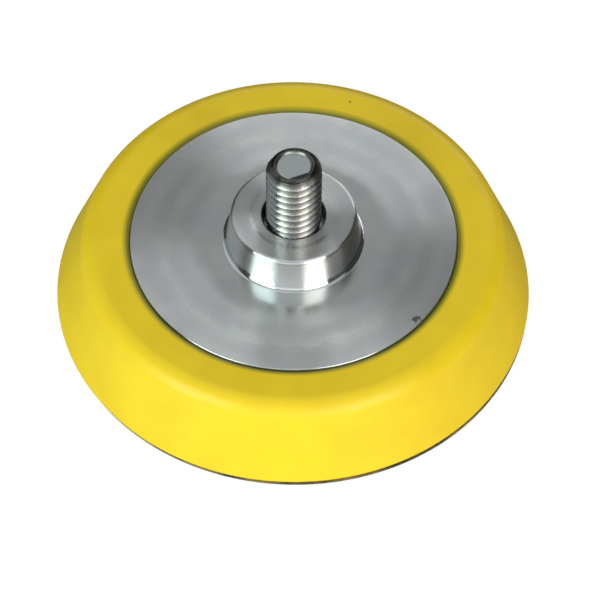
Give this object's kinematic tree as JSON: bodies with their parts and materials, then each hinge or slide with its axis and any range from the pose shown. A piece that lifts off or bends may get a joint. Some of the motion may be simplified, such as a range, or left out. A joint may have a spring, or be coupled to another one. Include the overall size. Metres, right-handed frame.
{
  "type": "hook-and-loop backing pad",
  "caption": "Round hook-and-loop backing pad with a flared foam body, a turned metal hub plate and a short threaded stud for a small rotary polisher.",
  "frame": {"origin": "middle of the hook face that the pad rests on, on the stud's axis", "axes": "+Z along the stud's axis, from the hook face towards the threaded tip; X and Y are equivalent"},
  "size_m": [0.0518, 0.0518, 0.0224],
  "materials": {
    "zinc_steel": "satin",
    "turned_aluminium": "satin",
    "yellow_foam": "satin",
    "adhesive": "satin",
    "black_cloth": "matte",
    "black_hooks": "satin"
  },
  "bodies": {
    "root": {"stud_bolt": "zinc_steel", "hub_plate": "turned_aluminium", "foam_body": "yellow_foam", "glue_film": "adhesive", "hook_cloth": "black_cloth", "hook_pile": "black_hooks"}
  },
  "joints": []
}
